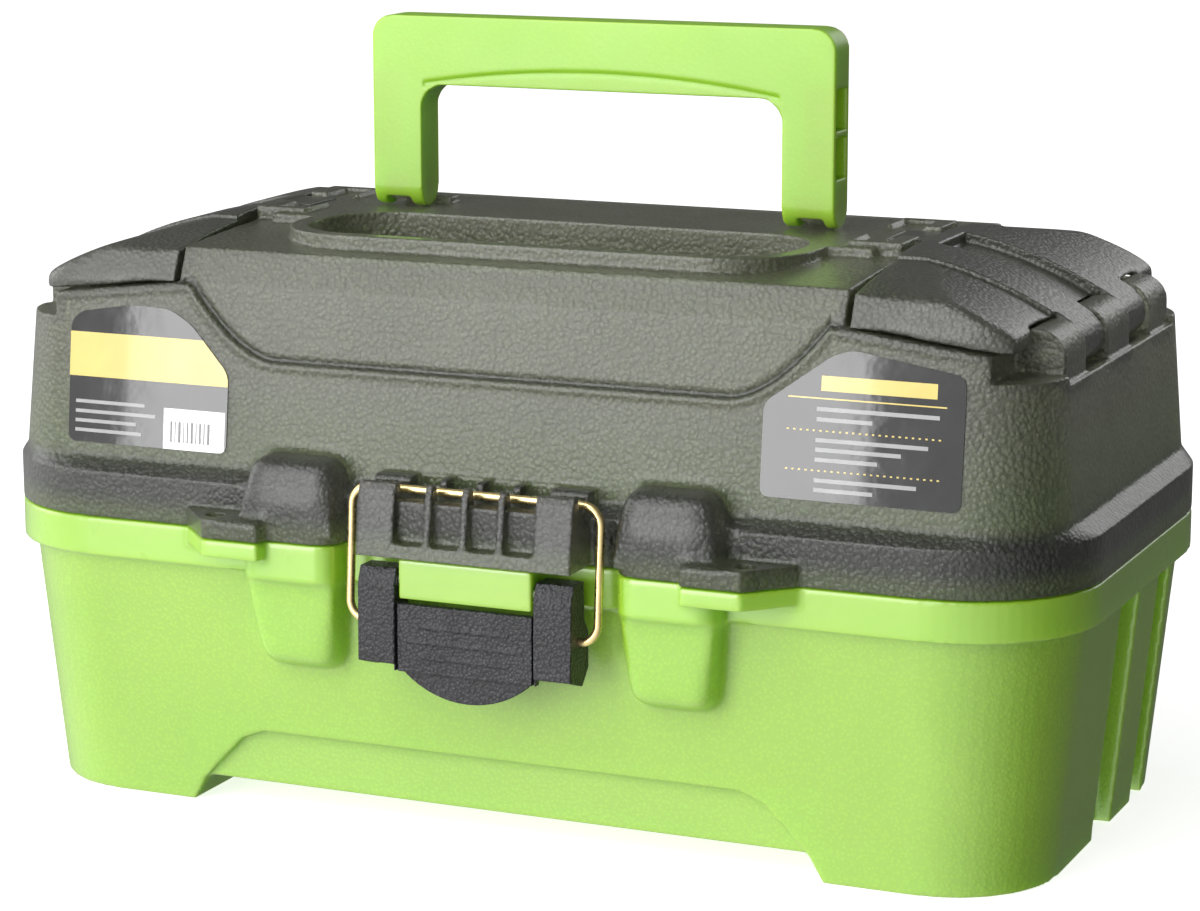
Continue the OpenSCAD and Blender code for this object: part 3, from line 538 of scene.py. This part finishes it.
def right_sticker():
    """Yellow title bar and rule, grey rules, and two dotted lines; no lettering."""
    outline = eased([(86.5, 6.2), (147.5, 6.2), (147.5, 43.5), (145.5, 45.5), (113, 50.5),
                     (107, 48.5), (86.5, 33.5)], CORNER_REACH)
    sticker_film("label_right", outline)
    plate("sticker_title", bar(104, 38.2, 139, 42.6), "yellow")
    plate("sticker_rule", bar(94, 35.8, 142, 36.2), "yellow")
    rows = [(32.3, 37), (29.3, 17), (23.3, 34), (20.5, 26), (17.6, 19), (11.6, 31), (8.8, 18)]
    for k, (h, w) in enumerate(rows):
        plate(f"sticker_line_{k}", bar(103, h, 103 + w, h + 1.2), "grey")
    for row, h in enumerate((26.4, 14.8)):
        for k in range(24):
            x = 94 + 2 * k
            plate(f"sticker_dot_{row}_{k}", bar(x, h, x + 0.7, h + 0.45), "yellow")


left_sticker()
right_sticker()


# ------------------------------------------------------------------ CAD nodes kept as they are

def kept_material(node):
    if node == "latch_bail":
        return MAT["brass"]
    return MAT["tray" if node.startswith("tray_divider") else "steel"]


for node, ob in NODES.items():
    if not ob.hide_render:
        ob.data.materials.clear()
        ob.data.materials.append(kept_material(node))


# ------------------------------------------------------------------ floor, light, camera

FLOOR_HALF = 6.0
# the floor lies this far under the feet, so that the two don't share a plane
FLOOR_GAP = 0.2 * MM
# the studio is bright towards the front left and dim towards the right
BRIGHT_SIDE = (-0.55, -0.75, -0.36)
STUDIO_LEVELS = {"From Min": -0.45, "From Max": 1.0, "To Min": 0.12, "To Max": 1.35}
LAMP_AIM = Vector((0, 0, 0.1))
# name: (place, width and height, watts)
LAMPS = {
    "key": ((-0.65, -1.5, 0.45), (0.56, 1.3), 13.5),
    "over": ((-0.4, -1.2, 1.6), (1.4, 1.0), 12),
    "left": ((-2.0, -0.3, 0.7), (1.2, 1.2), 10),
    "rear": ((0.7, 2.0, 1.0), (1.4, 1.0), 7),
}


def pale_floor():
    mesh = bpy.data.meshes.new("floor")
    bm = bmesh.new()
    bmesh.ops.create_grid(bm, x_segments=2, y_segments=2, size=FLOOR_HALF)
    bm.to_mesh(mesh)
    bm.free()
    floor = link(bpy.data.objects.new("floor", mesh))
    floor.location = (0, 0, -FLOOR_GAP)
    m = Nodes("pale_floor")
    m.link(m.mix(m.ramp(m.noise(3.0), 0.3, 0.7), (0.80, 0.80, 0.80), (0.83, 0.83, 0.83)),
           m.bsdf.inputs["Base Color"])
    m.set(Roughness=0.9, Specular_IOR_Level=0.1, Emission_Color=(1, 1, 1, 1),
          Emission_Strength=0.75)
    mesh.materials.append(m.mat)
    # the box takes its light from the studio round it, not from the white paper under it
    floor.visible_diffuse = False
    floor.visible_glossy = False


def studio():
    world = bpy.data.worlds.new("studio")
    bpy.context.scene.world = world
    world.use_nodes = True
    tree = world.node_tree
    sky = tree.nodes["Background"]
    sky.inputs["Strength"].default_value = 1.0
    coords = tree.nodes.new("ShaderNodeTexCoord")
    side = tree.nodes.new("ShaderNodeVectorMath")
    side.operation = "DOT_PRODUCT"
    side.inputs[1].default_value = BRIGHT_SIDE
    tree.links.new(coords.outputs["Generated"], side.inputs[0])
    level = tree.nodes.new("ShaderNodeMapRange")
    level.interpolation_type = "SMOOTHSTEP"
    for key, value in STUDIO_LEVELS.items():
        level.inputs[key].default_value = value
    tree.links.new(side.outputs["Value"], level.inputs["Value"])
    tree.links.new(level.outputs["Result"], sky.inputs["Color"])
    for name, (place, size, watts) in LAMPS.items():
        data = bpy.data.lights.new(name, "AREA")
        data.energy = watts
        data.shape = "RECTANGLE"
        data.size, data.size_y = size
        ob = link(bpy.data.objects.new(name, data))
        ob.location = place
        aim = LAMP_AIM - Vector(place)
        ob.rotation_euler = aim.to_track_quat("-Z", "Y").to_euler()


# the camera that fits the photograph: its focal length and centre in widths of the picture,
# its place about the tub's plan centre, and its right and up directions
SENSOR_W = 36
FOCAL = 3583.166 / 1200
SHIFT = ((600 - 550.881) / 1200, (449.107 - 455.5) / 1200)
CAMERA_AT = (0.448815, Y0 - 1.037214, 0.33976)
CAMERA_RIGHT = Vector((0.91225761, 0.40959922, -0.00381303))
CAMERA_UP = Vector((-0.07916815, 0.18544092, 0.97946111))


def camera():
    data = bpy.data.cameras.new("camera")
    data.sensor_width = SENSOR_W
    data.lens = FOCAL * SENSOR_W
    data.shift_x, data.shift_y = SHIFT
    data.clip_start, data.clip_end = 0.05, 30
    ob = link(bpy.data.objects.new("camera", data))
    axes = Matrix((CAMERA_RIGHT, CAMERA_UP, CAMERA_RIGHT.cross(CAMERA_UP))).transposed()
    ob.matrix_world = Matrix.Translation(CAMERA_AT) @ axes.to_4x4()
    bpy.context.scene.camera = ob


pale_floor()
studio()
camera()
bpy.context.scene.view_settings.view_transform = "Standard"
